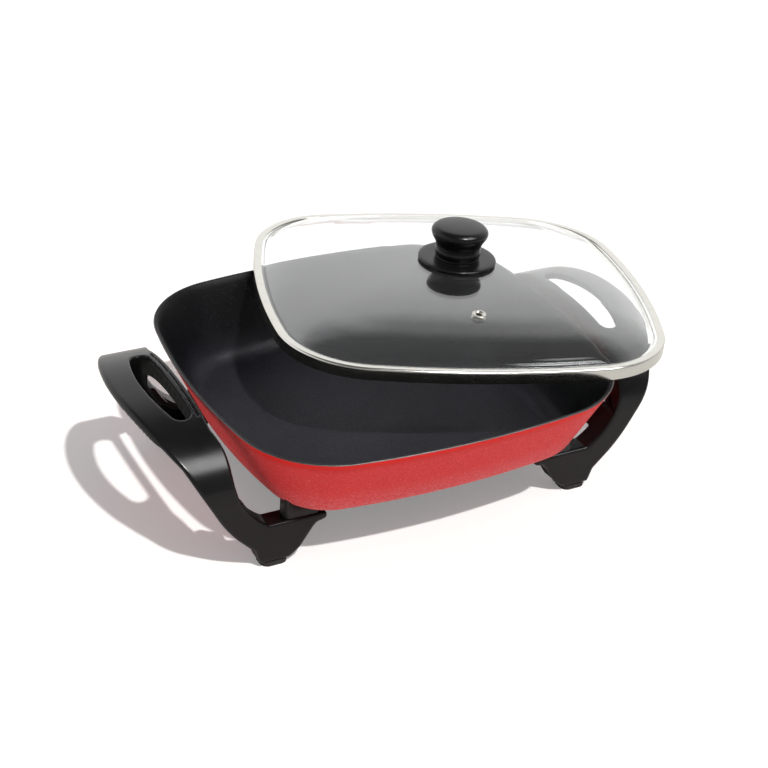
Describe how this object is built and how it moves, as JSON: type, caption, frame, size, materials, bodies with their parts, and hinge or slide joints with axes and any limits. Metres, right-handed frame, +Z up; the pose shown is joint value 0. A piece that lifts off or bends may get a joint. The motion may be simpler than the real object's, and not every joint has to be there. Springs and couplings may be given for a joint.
{
  "type": "electric hot pot",
  "caption": "Rectangular cast pan on two moulded handle-and-leg units, with a loose domed glass lid, a knob, and a heater and probe inlet under its base.",
  "frame": {"origin": "middle of the footprint box, on the table", "axes": "+X along the pan's length toward the heater inlet, +Y toward the back, +Z up"},
  "size_m": [0.4821, 0.367, 0.1673],
  "materials": {
    "coated_pan": "glossy red coat outside, black non-stick coat inside",
    "bakelite": "semi-gloss moulded bakelite",
    "pad": "matt",
    "steel": "plain zinc-plated steel",
    "heater_steel": "dull heater sheath",
    "bright_steel": "bright rolled stainless steel",
    "ceramic": "unglazed ceramic",
    "clear_glass": "clear tempered glass",
    "brass": "turned",
    "silicone": "matt silicone"
  },
  "bodies": {
    "pan": {"pan_body": "coated_pan", "left_handle": "bakelite", "right_handle": "bakelite", "foot_pad_front_left": "pad", "foot_pad_front_right": "pad", "foot_pad_rear_left": "pad", "foot_pad_rear_right": "pad", "handle_screws": "steel", "handle_washers": "steel", "heating_element": "heater_steel", "heater_bushes": "ceramic", "terminal_pins": "steel", "probe_tube": "heater_steel", "inlet_guard": "bakelite", "guard_screws": "steel"},
    "lid": {"lid_band": "bright_steel", "lid_glass": "clear_glass", "vent_eyelet": "bright_steel", "vent_washer": "bright_steel", "knob_head": "bakelite", "knob_disc": "bakelite", "knob_insert": "brass", "knob_screw": "steel", "knob_washer": "steel", "knob_gasket_top": "silicone", "knob_gasket_bottom": "silicone"}
  },
  "joints": [
    {"name": "lid_lift", "type": "slide", "parent": "pan", "child": "lid", "axis": [0, 0, 1], "range_m": [0, 0.15]}
  ]
}
